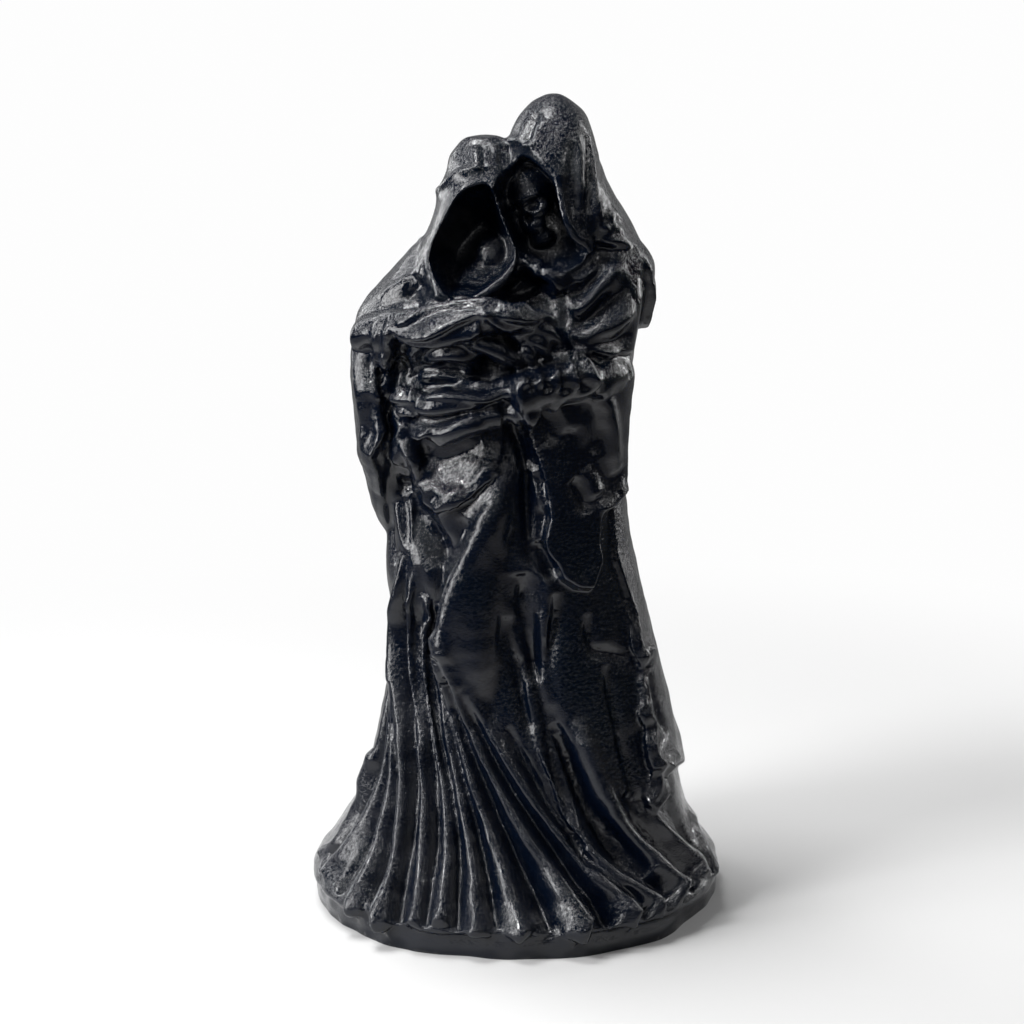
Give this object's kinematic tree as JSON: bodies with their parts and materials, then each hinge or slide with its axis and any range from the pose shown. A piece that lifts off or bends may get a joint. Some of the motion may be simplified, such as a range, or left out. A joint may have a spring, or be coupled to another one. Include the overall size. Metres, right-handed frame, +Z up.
{
  "type": "grim reaper figurine",
  "caption": "Glossy black cast figurine of hooded, robed reapers in an embrace, with ragged sleeves and capes over pleated skirts that spread onto a low round base.",
  "frame": {"origin": "middle of the base's flat underside", "axes": "+Z up from the base to the hoods, -Y towards the front that the picture shows, +X to the viewer's right"},
  "size_m": [0.1016, 0.1033, 0.2],
  "materials": {
    "black_resin": "glossy black cast resin with fine wrinkled relief"
  },
  "bodies": {
    "root": {"grim_reaper_figurine": "black_resin"}
  },
  "joints": []
}
